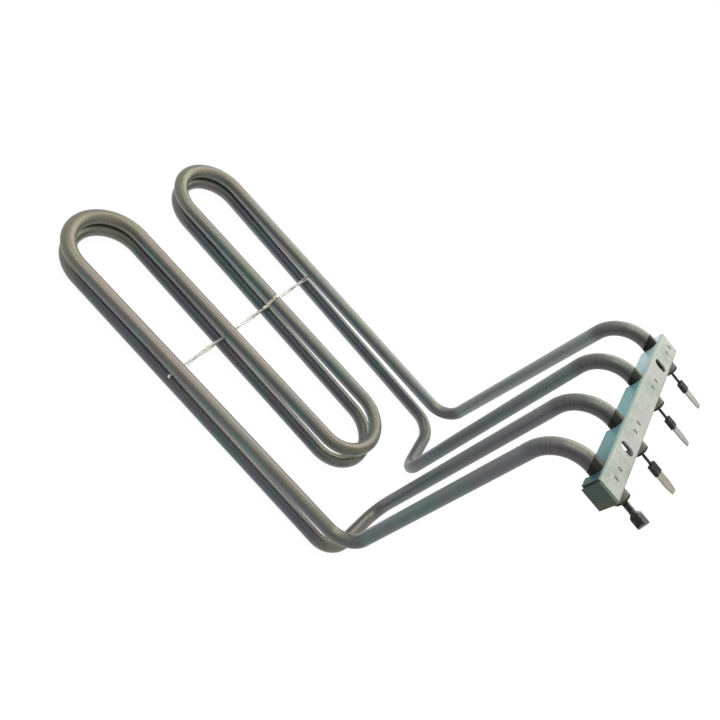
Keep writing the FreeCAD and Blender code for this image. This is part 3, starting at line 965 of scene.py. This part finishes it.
# %% Wire finishes
SPACER_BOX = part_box("spacer_wire")
BINDING_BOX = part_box("binding_wire")
WIRE_BRIGHT = (0.74, 0.72, 0.65)
WIRE_DULL = (0.52, 0.49, 0.42)
WIRE_SIDE_SHADE = (0.230, 0.222, 0.190)
BINDING_CREAM = (0.88, 0.84, 0.72)
BINDING_COPPER = (0.27, 0.180, 0.120)
STAIN_SHARE = 0.85
CROWN_FROM_MIDDLE = (0.2 * MM, 1.4 * MM)
CROWN_BELOW_TOP = (4 * MM, 2 * MM)
CUT_WHITE = (0.92, 0.92, 0.90)
CUT_LENGTH = 0.5 * MM


def cut_end(finish, colour, box):
    """The last bit of a wire at the high X end of a box is freshly cut and white."""
    cut = finish.along("X").step(box[1].x - CUT_LENGTH, box[1].x - CUT_LENGTH / 2)
    return finish.mix(cut, colour, CUT_WHITE)


def spacer_finish():
    """Drawn wire: bright where it is rubbed, dull in patches, with painted shade at its sides."""
    finish = Finish("spacer_steel")
    stretches = finish.noise(180.0, 2.0)
    drawn = finish.mix(stretches.step(0.45, 0.75), WIRE_BRIGHT, WIRE_DULL)
    # Painted shade: the sides of the wire that face away from the lamps are dark.
    facing = finish.attribute("upward") + (stretches - 0.5) * 0.5
    drawn = finish.mix(facing.step(-0.20, 0.45), WIRE_SIDE_SHADE, drawn)
    colour = cut_end(finish, drawn, SPACER_BOX)
    return finish.shade(Base_Color=colour, Metallic=0.60, Roughness=0.36 + stretches * 0.2)


def binding_finish():
    """Soft annealed wire: cream, with a brown heat stain on top of the tube."""
    finish = Finish("binding_steel")
    stains = finish.noise(420.0, 1.0)
    past_middle = finish.along("X") + LEG_INNER_X
    below_top = BINDING_BOX[1].z - finish.along("Z")
    crown = past_middle.step(*CROWN_FROM_MIDDLE) * below_top.step(*CROWN_BELOW_TOP)
    colour = finish.mix(crown * stains.step(0.40, 0.58) * STAIN_SHARE, BINDING_CREAM, BINDING_COPPER)
    colour = cut_end(finish, colour, BINDING_BOX)
    return finish.shade(Base_Color=colour, Metallic=0.50, Roughness=0.32 + stains * 0.2)


# %% [markdown]
# The spacer wire is one wire, laid across the legs and back, and its two halves are twisted slowly
# round each other. A solid in the frame can only hint at that. Here the path is a spiral out, a
# small loop and a spiral back, half a turn apart, and the tree for bent tubes sweeps the wire along
# it.

# %% Spacer wire
STRAND_R = 0.58 * MM
STRAND_OFFSET = 0.66 * MM
STRAND_SIDES = 12
STRAND_LENGTH_STEP = 0.7 * MM
STRAND_GAP = 0.1 * MM
SPACER_Y = (SPACER_BOX[0].y + SPACER_BOX[1].y) / 2
SPACER_Z = LOWER_Z + TUBE_R + STRAND_OFFSET + STRAND_R + STRAND_GAP
TWIST_PITCH = 39 * MM
TWIST_PHASE = 2 * math.pi * LEG_INNER_X / TWIST_PITCH
POINT_STEP = 1.5 * MM


def strand(start_x, end_x, phase):
    """Points of one strand of the twist, from one end to the other."""
    count = round(abs(end_x - start_x) / POINT_STEP)
    points = []
    for i in range(count + 1):
        x = start_x + (end_x - start_x) * i / count
        angle = 2 * math.pi * x / TWIST_PITCH + phase
        y = SPACER_Y + STRAND_OFFSET * math.cos(angle)
        z = SPACER_Z + STRAND_OFFSET * math.sin(angle)
        points.append((x, y, z))
    return points


def make_spacer_wire():
    """Out along one strand, round the loop and back along the other."""
    left, right = SPACER_BOX[0].x + STRAND_R + STRAND_OFFSET, SPACER_BOX[1].x
    loop = [(left - STRAND_OFFSET, SPACER_Y, SPACER_Z)]
    points = strand(right, left, TWIST_PHASE) + loop + strand(left, right, TWIST_PHASE + math.pi)
    line = corner_line("spacer_twist", points, [0.0] * len(points))
    return run_group(line, BENT_TUBE, Radius=STRAND_R, Step=STRAND_LENGTH_STEP, Sides=STRAND_SIDES,
                     Finish=spacer_finish())


keep(make_spacer_wire(), "spacer_wire")

# %% [markdown]
# The binding wire is a ring with its two ends twisted together. Drawn point by point it would be a
# long list, but each of its two laps is a circle swept along a circle, and the twist is two spirals
# half a turn apart, so a second small tree makes it from five sizes.

# %% The tree for the binding wire
WIRE_SIDES = 14
RING_POINTS = 64
SPIRAL_POINTS = 20
RING_LAP = 0.9
TAIL_START = 0.82


def transform(tree, geometry, move=(0.0, 0.0, 0.0), turn=(0.0, 0.0, 0.0)):
    """Turns and then moves a geometry."""
    inputs = {"Geometry": geometry, "Translation": move, "Rotation": turn}
    return tree.node("GeometryNodeTransform", inputs=inputs)


def join(tree, parts):
    """All parts as one geometry."""
    joined = tree.node("GeometryNodeJoinGeometry")
    for part in parts:
        tree.made.links.new(part.output, joined.output.node.inputs[0])
    return joined


def ring_laps(tree, wire_r, ring_r):
    """Two circles side by side round the tube."""
    inputs = {"Resolution": RING_POINTS, "Radius": ring_r}
    ring = tree.node("GeometryNodeCurvePrimitiveCircle", inputs=inputs)
    ring = transform(tree, ring, turn=(math.pi / 2, 0.0, 0.0))
    laps = []
    for lap in (RING_LAP, -RING_LAP):
        sideways = tree.node("ShaderNodeCombineXYZ", inputs={"Y": wire_r * lap})
        laps.append(transform(tree, ring, move=sideways))
    return laps


def twisted_tail(tree, wire_r, ring_r, tail, drop, turns):
    """Two spirals half a turn apart that start at the ring and run along X."""
    inputs = {"Resolution": SPIRAL_POINTS, "Rotations": turns, "Start Radius": wire_r, "End Radius": wire_r,
              "Height": tail}
    spiral = tree.node("GeometryNodeCurveSpiral", inputs=inputs)
    both = join(tree, (spiral, transform(tree, spiral, turn=(0.0, 0.0, math.pi))))
    laid = transform(tree, both, turn=(0.0, math.pi / 2, 0.0))
    start = tree.node("ShaderNodeCombineXYZ", inputs={"X": ring_r * TAIL_START, "Z": drop * -1.0})
    return transform(tree, laid, move=start)


def binding_group():
    """Two laps round the tube and a twisted tail that starts at them, moved to the anchor point."""
    sizes = [("Wire Radius", "NodeSocketFloat"), ("Ring Radius", "NodeSocketFloat"),
             ("Tail Length", "NodeSocketFloat"), ("Tail Drop", "NodeSocketFloat"),
             ("Turns", "NodeSocketFloat"), ("Finish", "NodeSocketMaterial")]
    tree, (anchor, wire_r, ring_r, tail, drop, turns, material) = new_group("binding_wire", sizes)
    inputs = {"Resolution": WIRE_SIDES, "Radius": wire_r}
    profile = tree.node("GeometryNodeCurvePrimitiveCircle", inputs=inputs)
    laps = ring_laps(tree, wire_r, ring_r)
    joined = join(tree, (*laps, twisted_tail(tree, wire_r, ring_r, tail, drop, turns)))
    inputs = {"Curve": joined, "Profile Curve": profile, "Fill Caps": True}
    wire = tree.node("GeometryNodeCurveToMesh", inputs=inputs)
    settings = {"data_type": "FLOAT_VECTOR", "domain": "POINT"}
    inputs = {"Geometry": anchor, "Value": tree.node("GeometryNodeInputPosition"), "Index": 0}
    spot = tree.node("GeometryNodeSampleIndex", settings, inputs)
    finish_geometry(tree, smooth_sides(tree, transform(tree, wire, move=spot)), material)
    return tree.made


# %% Binding wire
BINDING_R = 0.45 * MM
RING_GAP = 0.15 * MM
LOOP_R = TUBE_R + RING_GAP + BINDING_R
LOOP_X = -LEG_INNER_X
LOOP_Y = (BINDING_BOX[0].y + BINDING_BOX[1].y) / 2
LOOP_Z = BINDING_BOX[1].z - LOOP_R - BINDING_R
TAIL_LENGTH = BINDING_BOX[1].x - LOOP_X - LOOP_R * TAIL_START
TAIL_DROP = 3.3 * MM
TWIST_TURNS = 2.5


def make_binding_wire():
    """The ring and its twist at the third leg."""
    anchor = corner_line("binding_twist", [(LOOP_X, LOOP_Y, LOOP_Z)], [0.0])
    sizes = {"Wire Radius": BINDING_R, "Ring Radius": LOOP_R, "Tail Length": TAIL_LENGTH,
             "Tail Drop": TAIL_DROP, "Turns": TWIST_TURNS, "Finish": binding_finish()}
    return run_group(anchor, binding_group(), **sizes)


keep(make_binding_wire(), "binding_wire")

# %% [markdown]
# ## Floor, world and lamps
#
# The photograph has a white ground. A very bright floor would also brighten the tubes from below,
# so the floor and the world are white only for rays that come from the camera or from a reflection,
# and light the rest more gently. A reflection sees the floor a little dimmer than the camera does.
# A white tent has an opening for the camera, which bright metal shows as a dark band, so the world
# has one too.

# %% Rays that show the background
WHITE = (1.0, 1.0, 1.0)


def ray(tree, kind):
    """1 for rays of one kind, 0 for the others."""
    return tree.node("ShaderNodeLightPath", output=kind)


def seen(tree):
    """1 for rays that show the background: straight from the camera, reflected or refracted."""
    straight = ray(tree, "Is Camera Ray")
    return (straight + ray(tree, "Is Glossy Ray") + ray(tree, "Is Transmission Ray")) > 0.5


# %% Floor
FLOOR_SIZE = 16.0
FLOOR_COLOUR = (0.80, 0.80, 0.79)
FLOOR_GLOW = 1.10
FLOOR_DIM = 0.12
SHADOW_SHARE = 0.16


def make_floor():
    """A pale floor that keeps a faint shadow."""
    half = FLOOR_SIZE / 2
    mesh = bpy.data.meshes.new("floor")
    corners = [(-half, -half, 0), (half, -half, 0), (half, half, 0), (-half, half, 0)]
    mesh.from_pydata(corners, [], [(0, 1, 2, 3)])
    floor = add_object("floor", mesh)
    material = bpy.data.materials.new("pale_floor")
    material.use_nodes = True
    tree = Tree(material.node_tree)
    matt = tree.node("ShaderNodeBsdfDiffuse", inputs={"Color": FLOOR_COLOUR})
    strength = FLOOR_GLOW - ray(tree, "Is Glossy Ray") * FLOOR_DIM
    glow = tree.node("ShaderNodeEmission", inputs={"Color": WHITE, "Strength": strength})
    inputs = {0: seen(tree) * (1 - SHADOW_SHARE), 1: matt, 2: glow}
    surface = tree.node("ShaderNodeMixShader", inputs=inputs)
    tree.node("ShaderNodeOutputMaterial", inputs={"Surface": surface})
    mesh.materials.append(material)
    print("floor:", FLOOR_SIZE, "m wide")


make_floor()

# %% World
AMBIENT = 0.55
OPENING_SIDE = (0.93, 0.0, 0.36)
OPENING_EDGE = (0.35, 0.95)
OPENING_DEPTH = 0.46


def make_world():
    """White where it is seen, gentler where it lights, with an opening that only reflections show."""
    world = bpy.data.worlds.new("studio")
    world.use_nodes = True
    bpy.context.scene.world = world
    tree = Tree(world.node_tree)
    way = tree.node("ShaderNodeTexCoord", output="Generated")
    opening = tree.vectors("DOT_PRODUCT", way, OPENING_SIDE).step(*OPENING_EDGE)
    shown = seen(tree)
    strength = shown + (1 - shown) * AMBIENT - ray(tree, "Is Glossy Ray") * opening * OPENING_DEPTH
    sky = tree.node("ShaderNodeBackground", inputs={"Color": WHITE, "Strength": strength})
    tree.node("ShaderNodeOutputWorld", inputs={"Surface": sky})
    print("world:", world.name, "nodes:", len(tree.made.nodes))


make_world()

# %% [markdown]
# Two soft lamps light the object. Small ones would leave hard spots on round steel, so both are
# about a metre wide. The stronger stands high on the far side, where the photograph's tubes are
# brightest, and the weaker hangs over the outer turns.

# %% Lamps
AIM = Vector((0.0, 0.0, 0.05))
LAMPS = [
    {"name": "key", "place": (-0.95, -0.10, 0.75), "size": 1.10, "watts": 8.0},
    {"name": "top", "place": (0.10, -0.50, 1.30), "size": 0.90, "watts": 5.0},
]


def make_lamp(name, place, size, watts):
    """A square soft lamp that looks at the object."""
    data = bpy.data.lights.new(name, "AREA")
    data.size = size
    data.energy = watts
    lamp = add_object(name, data)
    lamp.location = place
    lamp.rotation_euler = (AIM - Vector(place)).to_track_quat("-Z", "Y").to_euler()
    print("lamp:", name, watts, "W")


for lamp in LAMPS:
    make_lamp(**lamp)

# %% [markdown]
# ## The end
#
# Colours are shown as they were written, without a film look.

# %% The end
bpy.context.scene.view_settings.view_transform = "Standard"
